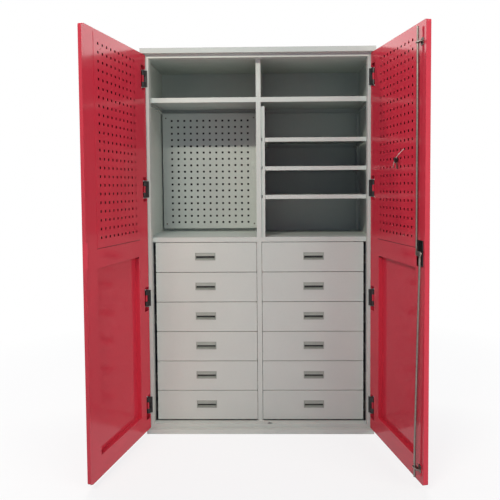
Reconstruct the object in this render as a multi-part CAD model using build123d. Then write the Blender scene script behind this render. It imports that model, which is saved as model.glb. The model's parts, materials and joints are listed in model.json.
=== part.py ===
from build123d import *
import os

# Tool cabinet with two hinged doors, twelve drawers, shelves and perforated tool panels.
# Millimetres. X runs to the right, Y to the back, Z up. The origin is the centre of the
# underside, which stands on the floor. The doors are drawn standing open.

# ---- overall size -------------------------------------------------------------------
cabinet_width = 1200.0
cabinet_height = 2000.0
cabinet_depth = 550.0
roof_height = 26.0
base_height = 24.0
roof_side_overhang = 3.0
base_side_inset = 6.0
front_overhang = 28.0

# ---- sheet metal --------------------------------------------------------------------
carcass_sheet = 1.5
panel_sheet = 1.2
side_flange = 20.0

# ---- front frame --------------------------------------------------------------------
stile_width = 35.0
top_rail_height = 19.0
bottom_rail_height = 18.0
frame_depth = 48.0
bolt_hole_width = 22.0
bolt_hole_depth = 16.0

# ---- drawers ------------------------------------------------------------------------
drawer_rows = 6
drawer_front_height = 156.0
drawer_gap = 3.0
drawer_floor_gap = 6.0
drawer_stile_gap = 3.5
drawer_divider_gap = 2.0
drawer_front_thickness = 18.0
drawer_front_lip = 10.0
drawer_corner_cut = 2.5
drawer_box_length = 420.0
drawer_side_height = 100.0
drawer_bottom_rise = 14.0
drawer_travel = 330.0

# ---- drawer runners -----------------------------------------------------------------
runner_width = 12.7
runner_height = 45.0
runner_sheet = 1.5
runner_lap = 9.5
runner_clearance = 0.5
runner_length = 400.0
liner_flange = 12.0

# ---- drawer pulls -------------------------------------------------------------------
pull_width = 108.0
pull_height = 40.0
pull_border = 3.0
pull_plate = 1.5
pull_pocket_depth = 14.0
pull_hood_height = 12.0
pull_hood_reach = 3.0
pull_slot_height = 10.0
pull_rise = 4.0

# ---- shelves and dividers -----------------------------------------------------------
shelf_fold = 25.0
shelf_lip = 12.0
divider_width = 25.0
divider_foot_radius = 8.0
top_bay_height = 214.0

# ---- adjustable shelves -------------------------------------------------------------
upright_width = 20.0
upright_depth = 20.0
upright_top_gap = 22.0
upright_setback = 2.0
upright_rear_gap = 19.3
adjustable_shelf_count = 3
adjustable_shelf_fold = 21.0
adjustable_shelf_lowest = 222.0
adjustable_shelf_drop = 186.0
adjustable_shelf_end_gap = 1.0
adjustable_shelf_rear_gap = 20.0
clip_reach = 20.0
clip_width = 14.0
clip_thickness = 2.0
clip_height = 16.0

# ---- perforated tool panels ---------------------------------------------------------
hole_pitch = 38.1
hole_size = 10.0
back_hole_columns = 13
back_hole_end_margin = 35.0
back_hole_drop = 3.0
tool_panel_side_gap = 7.5
tool_panel_floor_gap = 17.0
tool_panel_top_gap = 1.0
tool_panel_standoff = 36.0

# ---- doors --------------------------------------------------------------------------
door_thickness = 22.0
door_gap = 3.0
door_end_gap = 4.0
door_edge_to_pin = 7.5
pin_to_inner_face = 11.5
meeting_gap = 3.0
open_angle = 102.0
hinge_stile = 107.5
lock_stile = 82.0
recess_bottom_rail = 94.0
recess_height = 823.0
middle_rail_height = 86.0
top_rail_of_door = 13.0
door_panel_lap = 14.0
door_corner_radius = 8.0
closing_lip_reach = 13.5
closing_lip_lap = 2.0
closing_lip_step = 0.5

# ---- hinges -------------------------------------------------------------------------
hinge_count = 4
hinge_end_distance = 120.0
bracket_height = 84.0
bracket_reach = 21.5
bracket_outer_reach = 4.5
bracket_arm = 25.0
bracket_nose_radius = 5.5
arm_root_reach = 16.0
pin_radius = 3.5
pin_clearance = 0.05
knuckle_radius = 6.0
knuckle_end_gap = 0.5
leaf_length = 50.0
leaf_thickness = 4.0
leaf_outer_reach = 4.5
cutout_height = 124.0
cutout_width = 50.5
edge_notch_height = 92.0

# ---- lock and its two rods ----------------------------------------------------------
lock_height = 1009.0
lock_edge_distance = 33.0
housing_edge_distance = 14.0
housing_width = 41.0
housing_height = 108.0
housing_proud = 2.5
housing_pocket = 9.0
housing_wall = 2.0
housing_fit = 0.3
lock_opening_margin = 20.0
lock_opening_drop = 3.0
spindle_radius = 5.0
spindle_clearance = 0.1
cam_crank = 17.0
cam_thickness = 2.5
cam_half_width = 7.0
cam_to_housing = 6.0
link_pin_radius = 3.0
link_clearance = 0.5
link_slip = 2.5
link_plate = 2.5
link_rim = 4.0
link_layer_gap = 0.5
rod_radius = 4.5
rod_end_gap = 4.0
rod_to_link_gap = 9.0
rod_bend_distance = 40.0
rod_straight_end = 130.0
upper_guide_distance = 85.0
lower_guide_distance = 62.0
guide_arm = 5.0
guide_rim = 5.0
guide_clearance = 0.5
guide_foot = 30.0

# ---- outside handle -----------------------------------------------------------------
rosette_radius = 22.0
rosette_thickness = 2.5
handle_hub_radius = 11.0
handle_hub_length = 3.5
handle_bar_length = 80.0
handle_bar_width = 16.0
handle_bar_thickness = 6.0
handle_gap = 0.5

# ---- keys on their tie --------------------------------------------------------------
door_hole_columns = 10
door_hole_rows = 23
tie_upper_column = 7
tie_upper_row = 10
tie_lower_column = 4
tie_lower_row = 8
tie_radius = 1.6
tie_bulge = 13.0
tie_tail = 7.0
key_count = 2
key_head_width = 20.0
key_head_height = 30.0
key_thickness = 3.0
key_hole_radius = 3.4
key_hole_inset = 6.0
key_blade_length = 26.0
key_blade_width = 7.5
key_spacing = 5.0

# ---- places that follow from the sizes above ----------------------------------------
front_y = -cabinet_depth / 2 + front_overhang
back_y = cabinet_depth / 2
back_face_y = back_y - panel_sheet
rear_seat_y = back_face_y - carcass_sheet
carcass_half = cabinet_width / 2 - roof_side_overhang
carcass_top = cabinet_height - roof_height
inner_half = carcass_half - carcass_sheet
opening_half = carcass_half - stile_width
opening_bottom = base_height + bottom_rail_height
opening_top = carcass_top - top_rail_height
fittings_y = front_y + frame_depth
inner_depth = rear_seat_y - fittings_y

drawer_pitch = drawer_front_height + drawer_gap
drawer_stack_bottom = opening_bottom + drawer_floor_gap
middle_shelf_underside = drawer_stack_bottom + drawer_rows * drawer_pitch
middle_shelf_top = middle_shelf_underside + shelf_fold
top_shelf_top = carcass_top - top_bay_height
top_shelf_underside = top_shelf_top - shelf_fold
divider_half = divider_width / 2
bay_centre_x = (divider_half + inner_half) / 2
tool_panel_low = middle_shelf_top + tool_panel_floor_gap
tool_panel_high = top_shelf_underside - tool_panel_top_gap
back_hole_rows = 1 + int(
    (tool_panel_high - tool_panel_low - 2 * back_hole_end_margin) / hole_pitch
)
upright_top = top_shelf_underside - upright_top_gap
upright_spacing = inner_depth - upright_setback - upright_depth - upright_rear_gap
highest_shelf_top = top_shelf_underside - adjustable_shelf_drop
lowest_shelf_top = middle_shelf_top + adjustable_shelf_lowest
adjustable_shelf_spacing = (highest_shelf_top - lowest_shelf_top) / (adjustable_shelf_count - 1)

drawer_front_inner_x = divider_half + drawer_divider_gap
drawer_front_outer_x = opening_half - drawer_stile_gap
drawer_box_inner_x = divider_half + runner_width
drawer_box_outer_x = opening_half - runner_width
drawer_box_y = fittings_y + drawer_front_thickness
runner_centre_rise = drawer_bottom_rise + drawer_side_height / 2

pin_x = carcass_half - door_edge_to_pin
pin_y = front_y - door_gap - pin_to_inner_face
door_bottom = base_height + door_end_gap
door_top = carcass_top - door_end_gap
door_outer_face = pin_to_inner_face - door_thickness
skin_inner_face = door_outer_face + panel_sheet
door_free_edge = pin_x - meeting_gap / 2
window_near = hinge_stile - door_edge_to_pin
window_far = door_free_edge - lock_stile
recess_low = door_bottom + recess_bottom_rail
recess_high = recess_low + recess_height
door_panel_low = recess_high + middle_rail_height
door_panel_high = door_top - top_rail_of_door
door_panel_near = window_near - door_panel_lap
door_panel_centre = (door_panel_near + window_far) / 2
hinge_run = door_top - door_bottom - 2 * hinge_end_distance
hinge_heights = [
    door_bottom + hinge_end_distance + row * hinge_run / (hinge_count - 1)
    for row in range(hinge_count)
]

lock_centre = door_free_edge - lock_edge_distance
housing_far = door_free_edge - housing_edge_distance
housing_near = housing_far - housing_width
housing_face = pin_to_inner_face + housing_proud
cam_back = housing_face + cam_to_housing
upper_link_back = cam_back + cam_thickness + link_layer_gap
lower_link_back = upper_link_back + link_plate + link_layer_gap
upper_rod_reach = lock_centre - cam_crank
lower_rod_reach = lock_centre + cam_crank
upper_rod_axis = upper_link_back + link_plate / 2
lower_rod_axis = lower_link_back + link_plate / 2
link_half_height = link_pin_radius + link_slip + link_clearance + link_rim


# ---- shared shapes ------------------------------------------------------------------
def block(x_low, x_high, y_low, y_high, z_low, z_high):
    # box between two opposite corners
    centre = Pos((x_low + x_high) / 2, (y_low + y_high) / 2, (z_low + z_high) / 2)
    return centre * Box(x_high - x_low, y_high - y_low, z_high - z_low)


def tray(width, length, depth, sheet, lip=0.0):
    # folded sheet tray: floor at the bottom, walls upwards, return lip round the rim
    grounded = (Align.CENTER, Align.CENTER, Align.MIN)
    body = Box(width, length, depth, align=grounded)
    room_depth = depth - sheet - (sheet if lip else 0.0)
    room = Box(width - 2 * sheet, length - 2 * sheet, room_depth, align=grounded)
    shell = body - Pos(0, 0, sheet) * room
    if lip:
        inset = 2 * (sheet + lip)
        shell -= Pos(0, 0, sheet) * Box(width - inset, length - inset, depth, align=grounded)
    return shell


def closed_box(width, length, height, sheet):
    # box folded from sheet and closed on every side, standing on the plane Z = 0
    grounded = (Align.CENTER, Align.CENTER, Align.MIN)
    inner = Box(width - 2 * sheet, length - 2 * sheet, height - 2 * sheet, align=grounded)
    return Box(width, length, height, align=grounded) - Pos(0, 0, sheet) * inner


def rod(radius, low, high):
    # upright round bar with its axis on Z
    grounded = (Align.CENTER, Align.CENTER, Align.MIN)
    return Pos(0, 0, low) * Cylinder(radius, high - low, align=grounded)


def other_side(shape):
    return mirror(shape, about=Plane.YZ)


def hang_left(shape):
    # door drawn with its pin on Z and its width along X, hung on the left and opened
    return Pos(-pin_x, pin_y, 0) * Rot(0, 0, -open_angle) * shape


def hang_right(shape):
    return other_side(hang_left(shape))


# ---- carcass ------------------------------------------------------------------------
def make_roof():
    return Pos(0, 0, carcass_top) * closed_box(
        cabinet_width, cabinet_depth, roof_height, carcass_sheet
    )


def make_base():
    width = cabinet_width - 2 * base_side_inset
    return closed_box(width, cabinet_depth, base_height, carcass_sheet)


def make_side_panel():
    # right-hand sheet with flanges turned inwards at the bottom, top and rear
    inner_edge = carcass_half - side_flange
    front = front_y + carcass_sheet
    outer = block(inner_edge, carcass_half, front, back_face_y, base_height, carcass_top)
    room = block(
        inner_edge,
        inner_half,
        front,
        back_face_y - carcass_sheet,
        base_height + carcass_sheet,
        carcass_top - carcass_sheet,
    )
    return outer - room


def make_back_panel():
    return block(-carcass_half, carcass_half, back_face_y, back_y, base_height, carcass_top)


def bolt_hole(reach, axis, low, high):
    # square-cornered hole that a locking rod enters when the right door is shut
    x_centre = pin_x - reach
    y_centre = pin_y + axis
    return block(
        x_centre - bolt_hole_width / 2,
        x_centre + bolt_hole_width / 2,
        y_centre - bolt_hole_depth / 2,
        y_centre + bolt_hole_depth / 2,
        low,
        high,
    )


def make_front_frame():
    # face ring with a collar folded back all round the opening
    rear = front_y + carcass_sheet
    face = block(-carcass_half, carcass_half, front_y, rear, base_height, carcass_top)
    collar_half = opening_half + carcass_sheet
    collar_low = opening_bottom - carcass_sheet
    collar_high = opening_top + carcass_sheet
    collar = block(-collar_half, collar_half, front_y, fittings_y, collar_low, collar_high)
    opening = block(
        -opening_half, opening_half, front_y, fittings_y, opening_bottom, opening_top
    )
    ring = face + collar - opening
    ring -= bolt_hole(upper_rod_reach, upper_rod_axis, opening_top, collar_high)
    ring -= bolt_hole(upper_rod_reach, lower_rod_axis, collar_low, opening_bottom)
    return ring


def make_divider(low, high):
    # U-section partition, closed at the front
    outer = block(-divider_half, divider_half, fittings_y, back_face_y, low, high)
    room_half = divider_half - carcass_sheet
    return outer - block(
        -room_half, room_half, fittings_y + carcass_sheet, back_face_y, low, high
    )


def make_lower_divider():
    # the drawers' partition flares out with a rounded corner where it meets the sill
    divider = make_divider(base_height, middle_shelf_underside)
    radius = divider_foot_radius
    reach = divider_half + radius
    rear = fittings_y + carcass_sheet
    foot = block(-reach, reach, fittings_y, rear, opening_bottom, opening_bottom + radius)
    for side in (-1, 1):
        corner = Pos(side * reach, fittings_y + carcass_sheet / 2, opening_bottom + radius)
        foot -= corner * Rot(90, 0, 0) * Cylinder(radius, carcass_sheet)
    return divider + foot


def make_fixed_shelf(underside):
    shelf = tray(2 * inner_half, inner_depth, shelf_fold, panel_sheet, shelf_lip)
    place = Pos(0, (fittings_y + rear_seat_y) / 2, underside + shelf_fold)
    return place * Rot(180, 0, 0) * shelf


def make_tool_panel():
    # perforated sheet with its edges folded back to the rear of the left bay
    left = -inner_half + tool_panel_side_gap
    right = -divider_half - tool_panel_side_gap
    width = right - left
    height = tool_panel_high - tool_panel_low
    panel = Rot(-90, 0, 0) * tray(width, height, tool_panel_standoff, panel_sheet)
    grid = GridLocations(hole_pitch, hole_pitch, back_hole_columns, back_hole_rows)
    holes = Sketch() + grid * Rectangle(hole_size, hole_size)
    punches = extrude(holes, panel_sheet)
    panel -= Pos(0, 0, -back_hole_drop) * Rot(-90, 0, 0) * punches
    y_front = rear_seat_y - tool_panel_standoff
    return Pos((left + right) / 2, y_front, (tool_panel_low + tool_panel_high) / 2) * panel


def make_drawer_liners():
    # sheets that stand beside the drawers and carry their outer runners
    outer_x = opening_half + liner_flange
    liner = block(
        opening_half, outer_x, fittings_y, back_face_y, base_height, middle_shelf_underside
    )
    liner -= block(
        opening_half + panel_sheet,
        outer_x,
        fittings_y,
        back_face_y,
        base_height + panel_sheet,
        middle_shelf_underside - panel_sheet,
    )
    return liner + other_side(liner)


# ---- adjustable shelves -------------------------------------------------------------
def make_shelf_uprights():
    # four channels, open towards the side walls of the right-hand bay
    face = divider_half + upright_width
    front = fittings_y + upright_setback
    rear = front + upright_depth
    post = block(divider_half, face, front, rear, middle_shelf_top, upright_top)
    post -= block(
        divider_half,
        face - carcass_sheet,
        front + carcass_sheet,
        rear - carcass_sheet,
        middle_shelf_top,
        upright_top,
    )
    pair = post + Pos(0, upright_spacing, 0) * post
    return pair + mirror(pair, about=Plane.YZ.offset(bay_centre_x))


def shelf_top(number):
    return highest_shelf_top - number * adjustable_shelf_spacing


def make_adjustable_shelf(number):
    width = 2 * (bay_centre_x - divider_half - upright_width - adjustable_shelf_end_gap)
    length = inner_depth - adjustable_shelf_rear_gap
    shelf = tray(width, length, adjustable_shelf_fold, panel_sheet, shelf_lip)
    place = Pos(bay_centre_x, fittings_y + length / 2, shelf_top(number))
    return place * Rot(180, 0, 0) * shelf


def make_shelf_clips():
    # angle clips hooked to the uprights, four under each adjustable shelf
    face = divider_half + upright_width
    y_centre = fittings_y + upright_setback + upright_depth / 2
    clips = Part()
    for number in range(adjustable_shelf_count):
        seat = shelf_top(number) - adjustable_shelf_fold
        foot = seat - clip_height
        outline = Polyline(
            (face, foot),
            (face + clip_thickness, foot),
            (face + clip_thickness, seat - clip_thickness),
            (face + clip_reach, seat - clip_thickness),
            (face + clip_reach, seat),
            (face, seat),
            close=True,
        )
        clip = extrude(Plane.XZ * make_face(outline), clip_width / 2, both=True)
        for run in (0, upright_spacing):
            clips += Pos(0, y_centre + run, 0) * clip
    return clips + mirror(clips, about=Plane.YZ.offset(bay_centre_x))


# ---- drawers ------------------------------------------------------------------------
def channel_runner(lap, height, length):
    # C-section with its web on X = 0, opening towards +X, running back along Y
    section = Rectangle(lap, height, align=(Align.MIN, Align.CENTER))
    section -= Pos(runner_sheet, 0) * Rectangle(
        lap, height - 2 * runner_sheet, align=(Align.MIN, Align.CENTER)
    )
    return Rot(90, 0, 0) * extrude(section, -length)


def make_drawer_runners():
    # fixed members, one on each side of every drawer
    member = channel_runner(runner_lap, runner_height, runner_length)
    runners = Part()
    for row in range(drawer_rows):
        height = drawer_stack_bottom + row * drawer_pitch + runner_centre_rise
        for place in (
            Pos(divider_half, drawer_box_y, height),
            Pos(opening_half, drawer_box_y, height) * Rot(0, 180, 0),
        ):
            runners += place * member
    return runners + other_side(runners)


def make_drawer_box(bottom):
    # floor, ends and sides as five flat sheets, spot-welded along their edges
    low_x, high_x = drawer_box_inner_x, drawer_box_outer_x
    front, back = drawer_box_y, drawer_box_y + drawer_box_length
    seat, top = bottom + panel_sheet, bottom + drawer_side_height
    inner_front, inner_back = front + panel_sheet, back - panel_sheet
    return [
        block(low_x, high_x, front, back, bottom, seat),
        block(low_x, high_x, front, inner_front, seat, top),
        block(low_x, high_x, inner_back, back, seat, top),
        block(low_x, low_x + panel_sheet, inner_front, inner_back, seat, top),
        block(high_x - panel_sheet, high_x, inner_front, inner_back, seat, top),
    ]


def make_drawer(side, row):
    # front pan, open box and the two moving runner members fixed to the box's sides
    low = drawer_stack_bottom + row * drawer_pitch
    front_width = drawer_front_outer_x - drawer_front_inner_x
    front = tray(
        front_width,
        drawer_front_height,
        drawer_front_thickness,
        panel_sheet,
        drawer_front_lip,
    )
    corner_edges = front.edges().filter_by(Axis.Z).group_by(Edge.length)[-1]
    front = chamfer(corner_edges, drawer_corner_cut)
    front_x = (drawer_front_inner_x + drawer_front_outer_x) / 2
    front_z = low + drawer_front_height / 2
    half_width = pull_width / 2 - pull_border
    half_height = pull_height / 2 - pull_border
    front = Pos(front_x, fittings_y, front_z) * Rot(-90, 0, 0) * front
    front -= block(
        front_x - half_width,
        front_x + half_width,
        fittings_y,
        fittings_y + panel_sheet,
        front_z + pull_rise - half_height,
        front_z + pull_rise + half_height,
    )
    inner_lap = runner_width - runner_sheet - runner_clearance
    inner_height = runner_height - 2 * runner_sheet - 2 * runner_clearance
    member = channel_runner(inner_lap, inner_height, runner_length)
    member_z = low + runner_centre_rise
    inner_member = Pos(drawer_box_inner_x, drawer_box_y, member_z) * Rot(0, 180, 0) * member
    outer_member = Pos(drawer_box_outer_x, drawer_box_y, member_z) * member
    sheets = make_drawer_box(low + drawer_bottom_rise)
    drawer = Compound([front, *sheets, inner_member, outer_member])
    return other_side(drawer) if side == "left" else drawer


def make_pull(side, row):
    # flanged cup let into the drawer front, with a hood above and a ramp below the slot
    half_width = pull_width / 2 - pull_border
    half_height = pull_height / 2 - pull_border
    inner_width = half_width - pull_plate
    inner_height = half_height - pull_plate
    floor = pull_pocket_depth - pull_plate
    pull = block(
        -pull_width / 2, pull_width / 2, -pull_plate, 0, -pull_height / 2, pull_height / 2
    )
    pull += block(-half_width, half_width, 0, pull_pocket_depth, -half_height, half_height)
    pull -= block(-inner_width, inner_width, -pull_plate, floor, -inner_height, inner_height)
    slot_top = inner_height - pull_hood_height
    slot_bottom = slot_top - pull_slot_height
    hood = Polyline(
        (-pull_plate, inner_height),
        (-pull_hood_reach - pull_plate, slot_top),
        (-pull_hood_reach, slot_top),
        (0, inner_height),
        close=True,
    )
    ramp = Polyline(
        (-pull_plate, -inner_height),
        (floor, -inner_height),
        (floor, slot_bottom),
        close=True,
    )
    for outline in (hood, ramp):
        pull += extrude(Plane.YZ * make_face(outline), inner_width, both=True)
    x_centre = (drawer_front_inner_x + drawer_front_outer_x) / 2
    z_centre = drawer_stack_bottom + row * drawer_pitch + drawer_front_height / 2 + pull_rise
    pull = Pos(x_centre, fittings_y, z_centre) * pull
    return other_side(pull) if side == "left" else pull


# ---- doors, drawn with the pin on Z, X along the door and Y into the cabinet ---------
def lug(radius, low, high):
    # round bar along Y
    return Rot(-90, 0, 0) * rod(radius, low, high)


def make_door_skin(locked_side):
    # outer sheet with its four edges folded in, notched on the hinge side for the hinges
    width = door_free_edge + door_edge_to_pin
    height = door_top - door_bottom
    x_centre = (door_free_edge - door_edge_to_pin) / 2
    z_centre = (door_top + door_bottom) / 2
    pan = tray(width, height, door_thickness, panel_sheet)
    inner_corners = pan.edges().filter_by(Axis.Z).group_by(Edge.length)[0]
    pan = fillet(inner_corners.group_by(Axis.X)[-1], door_corner_radius - panel_sheet)
    outer_corners = pan.edges().filter_by(Axis.Z).group_by(Edge.length)[-1]
    pan = fillet(outer_corners.group_by(Axis.X)[-1], door_corner_radius)
    skin = Pos(x_centre, door_outer_face, z_centre) * Rot(-90, 0, 0) * pan
    for height in hinge_heights:
        skin -= block(
            -door_edge_to_pin,
            -door_edge_to_pin + panel_sheet,
            skin_inner_face,
            pin_to_inner_face,
            height - edge_notch_height / 2,
            height + edge_notch_height / 2,
        )
    if locked_side:
        bore = lug(spindle_radius + spindle_clearance, door_outer_face, skin_inner_face)
        skin -= Pos(lock_centre, 0, lock_height) * bore
    return skin


def make_door_frame(locked_side):
    # inner face sheet with a deep lower recess, a window above it and hinge cut-outs
    near = -door_edge_to_pin + panel_sheet
    far = door_free_edge - panel_sheet
    back = pin_to_inner_face - panel_sheet
    low = door_bottom + panel_sheet
    high = door_top - panel_sheet
    frame = block(near, far, back, pin_to_inner_face, low, high)
    free_corners = frame.edges().filter_by(Axis.Y).group_by(Axis.X)[-1]
    frame = fillet(free_corners, door_corner_radius - panel_sheet)
    frame += block(
        window_near - panel_sheet,
        window_far + panel_sheet,
        skin_inner_face,
        pin_to_inner_face,
        recess_low - panel_sheet,
        recess_high + panel_sheet,
    )
    frame -= block(
        window_near, window_far, skin_inner_face, pin_to_inner_face, recess_low, recess_high
    )
    frame -= block(
        window_near,
        window_far - door_panel_lap,
        back,
        pin_to_inner_face,
        door_panel_low + door_panel_lap,
        door_panel_high - door_panel_lap,
    )
    for height in hinge_heights:
        frame -= block(
            near,
            cutout_width - door_edge_to_pin,
            back,
            pin_to_inner_face,
            height - cutout_height / 2,
            height + cutout_height / 2,
        )
    if locked_side:
        frame -= block(
            housing_near - lock_opening_margin,
            housing_far + housing_fit,
            back,
            pin_to_inner_face,
            lock_height - housing_height / 2 - lock_opening_drop,
            lock_height + housing_height / 2 + housing_fit,
        )
        return frame
    return frame + make_closing_lip()


def make_closing_lip():
    # joggled strip on the left door's free edge that shuts behind the right door
    low = door_bottom + door_corner_radius
    high = door_top - door_corner_radius
    seat = pin_to_inner_face
    front = seat + closing_lip_step
    rear = front + panel_sheet
    reach = door_free_edge + closing_lip_reach
    root = door_free_edge - closing_lip_lap
    lip = block(root, door_free_edge, seat, rear, low, high)
    lip += block(door_free_edge, reach, front, rear, low, high)
    gap_half = housing_height / 2 + door_gap
    return lip - block(
        door_free_edge, reach, front, rear, lock_height - gap_half, lock_height + gap_half
    )


def make_door_tool_panel():
    return block(
        door_panel_near,
        window_far,
        pin_to_inner_face,
        pin_to_inner_face + panel_sheet,
        door_panel_low,
        door_panel_high,
    )


def make_door_knuckles():
    # tubes that turn on the hinge pins, each with a leaf welded inside the skin
    half = bracket_height / 2 - bracket_arm - knuckle_end_gap
    knuckle = rod(knuckle_radius, -half, half)
    knuckle += block(
        -leaf_outer_reach,
        leaf_length - leaf_outer_reach,
        skin_inner_face,
        skin_inner_face + leaf_thickness,
        -half,
        half,
    )
    knuckle -= rod(pin_radius + pin_clearance, -half, half)
    knuckles = Part()
    for height in hinge_heights:
        knuckles += Pos(0, 0, height) * knuckle
    return knuckles


def make_hinge_brackets():
    # plates on the stiles, each with two arms that hold the fixed pin between them
    half = bracket_height / 2
    face = pin_to_inner_face
    bracket = block(
        -bracket_outer_reach, bracket_reach, face, face + door_gap, -half, half
    )
    root = Line((-bracket_outer_reach, face), (arm_root_reach, face))
    nose = RegularPolygon(bracket_nose_radius, 8, major_radius=False)
    arm_outline = make_hull(nose.edges() + [root])
    arm = extrude(arm_outline, bracket_arm)
    bracket += Pos(0, 0, half - bracket_arm) * arm
    bracket += Pos(0, 0, -half) * arm
    bracket += rod(pin_radius, -half, half)
    brackets = Part()
    for height in hinge_heights:
        brackets += Pos(-pin_x, pin_y, height) * bracket
    return brackets + other_side(brackets)


# ---- lock, drawn on the right door ---------------------------------------------------
def make_lock_housing():
    # lock case sunk in the door's edge, and the round rosette outside
    low = lock_height - housing_height / 2
    high = lock_height + housing_height / 2
    housing = block(housing_near, housing_far, skin_inner_face, housing_face, low, high)
    housing -= block(
        housing_near + housing_wall,
        housing_far - housing_wall,
        housing_face - housing_pocket,
        housing_face,
        low + housing_wall,
        high - housing_wall,
    )
    rosette = lug(rosette_radius, door_outer_face - rosette_thickness, door_outer_face)
    bore = lug(spindle_radius + spindle_clearance, door_outer_face - rosette_thickness, housing_face)
    hub = Pos(lock_centre, 0, lock_height)
    return (housing - hub * bore) + hub * (rosette - bore)


def make_lock_handle():
    # low T-handle, its bar upright at rest, with the spindle that turns the cam
    hub_back = door_outer_face - rosette_thickness - handle_gap
    hub_front = hub_back - handle_hub_length
    handle = lug(handle_hub_radius, hub_front, hub_back)
    handle += lug(spindle_radius, hub_back, cam_back)
    bar = extrude(SlotOverall(handle_bar_length, handle_bar_width), handle_bar_thickness)
    handle += Pos(0, hub_front - handle_bar_thickness, 0) * Rot(-90, 0, 90) * bar
    return Pos(lock_centre, 0, lock_height) * handle


def make_lock_cam():
    # double-ended cam with one pin for each rod
    cam_length = 2 * (cam_crank + cam_half_width)
    plate = extrude(SlotOverall(cam_length, 2 * cam_half_width), cam_thickness)
    cam = Pos(0, cam_back, 0) * Rot(-90, 0, 0) * plate
    pin_root = cam_back + cam_thickness
    cam += Pos(-cam_crank, 0, 0) * lug(link_pin_radius, pin_root, upper_link_back + link_plate)
    cam += Pos(cam_crank, 0, 0) * lug(link_pin_radius, pin_root, lower_link_back + link_plate)
    return Pos(lock_centre, 0, lock_height) * cam


def link_head(reach, back, upward):
    # slotted end plate of a rod, with the tab that joins it to the rod
    clear = link_pin_radius + link_clearance
    near, far = sorted((reach, lock_centre))
    front = back + link_plate
    low = lock_height - link_half_height
    high = lock_height + link_half_height
    head = block(near - clear - link_rim, far + clear + link_rim, back, front, low, high)
    tab_end = link_half_height + rod_to_link_gap + rod_radius
    tab_low, tab_high = sorted((lock_height, lock_height + upward * tab_end))
    head += block(reach - rod_radius, reach + rod_radius, back, front, tab_low, tab_high)
    slot_half = link_half_height - link_rim
    return head - block(
        near - clear, far + clear, back, front, lock_height - slot_half, lock_height + slot_half
    )


def make_upper_rod():
    low = lock_height + link_half_height + rod_to_link_gap
    bar = Pos(upper_rod_reach, upper_rod_axis, 0) * rod(rod_radius, low, opening_top - rod_end_gap)
    return bar + link_head(upper_rod_reach, upper_link_back, 1)


def make_lower_rod():
    # the bar leans across from the cam's outer pin to the line of the upper rod
    top = lock_height - link_half_height - rod_to_link_gap
    bottom = opening_bottom + rod_end_gap
    route = Polyline(
        (lower_rod_reach, lower_rod_axis, top),
        (lower_rod_reach, lower_rod_axis, top - rod_bend_distance),
        (upper_rod_reach, lower_rod_axis, bottom + rod_straight_end),
        (upper_rod_reach, lower_rod_axis, bottom),
    )
    section = Plane(origin=route @ 0, z_dir=(0, 0, -1)) * Circle(rod_radius)
    bar = sweep(section, path=route, transition=Transition.RIGHT)
    return bar + link_head(lower_rod_reach, lower_link_back, -1)


def rod_guide(axis, height):
    # eye round the rod with a leg and foot on the door's inner face
    face = pin_to_inner_face
    bore = rod_radius + guide_clearance
    foot_near = bore + guide_rim / 2
    eye = Pos(0, axis) * Circle(bore + guide_rim)
    leg = Pos(foot_near, face) * Rectangle(
        guide_foot - foot_near, axis - face + rod_radius, align=(Align.MIN, Align.MIN)
    )
    plate = extrude(eye + leg - Pos(0, axis) * Circle(bore), guide_arm / 2, both=True)
    foot = block(
        foot_near, guide_foot, face, face + link_plate, -guide_foot / 2, guide_foot / 2
    )
    return Pos(upper_rod_reach, 0, height) * (plate + foot)


def make_rod_guides():
    upper = rod_guide(upper_rod_axis, door_top - upper_guide_distance)
    return upper + rod_guide(lower_rod_axis, door_bottom + lower_guide_distance)


# ---- keys ---------------------------------------------------------------------------
def door_hole(column, row, depth):
    # point on a hole's axis in the perforated door panel
    z_centre = (door_panel_low + door_panel_high) / 2
    return Vector(
        door_panel_centre + (column - (door_hole_columns - 1) / 2) * hole_pitch,
        depth,
        z_centre + (row - (door_hole_rows - 1) / 2) * hole_pitch,
    )


tie_seat = pin_to_inner_face + panel_sheet + tie_radius
tie_start = door_hole(tie_upper_column, tie_upper_row, tie_seat)
tie_end = door_hole(tie_lower_column, tie_lower_row, tie_seat)
tie_middle = (tie_start + tie_end) / 2 + Vector(0, tie_bulge, 0)


def make_key_tie():
    path = ThreePointArc(tie_start, tie_middle, tie_end)
    section = Plane(origin=path @ 0, z_dir=path % 0) * RegularPolygon(tie_radius, 6)
    return sweep(section, path=path)


def make_keys():
    # keys hanging from the tie by the hole in each head
    head = Rectangle(key_head_width, key_head_height)
    head = chamfer(head.vertices(), key_head_width / 3)
    head = Pos(0, key_hole_inset - key_head_height / 2) * head
    blade = Rectangle(key_blade_width, key_blade_length, align=(Align.CENTER, Align.MAX))
    outline = head + Pos(0, key_hole_inset - key_head_height) * blade
    outline -= Circle(key_hole_radius)
    key = extrude(Plane.YZ * outline, key_thickness / 2, both=True)
    along = (tie_start - tie_end).normalized()
    keys = Part()
    for number in range(key_count):
        offset = (number - (key_count - 1) / 2) * key_spacing
        keys += Pos(tie_middle + along * (offset / along.X)) * key
    return keys


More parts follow.
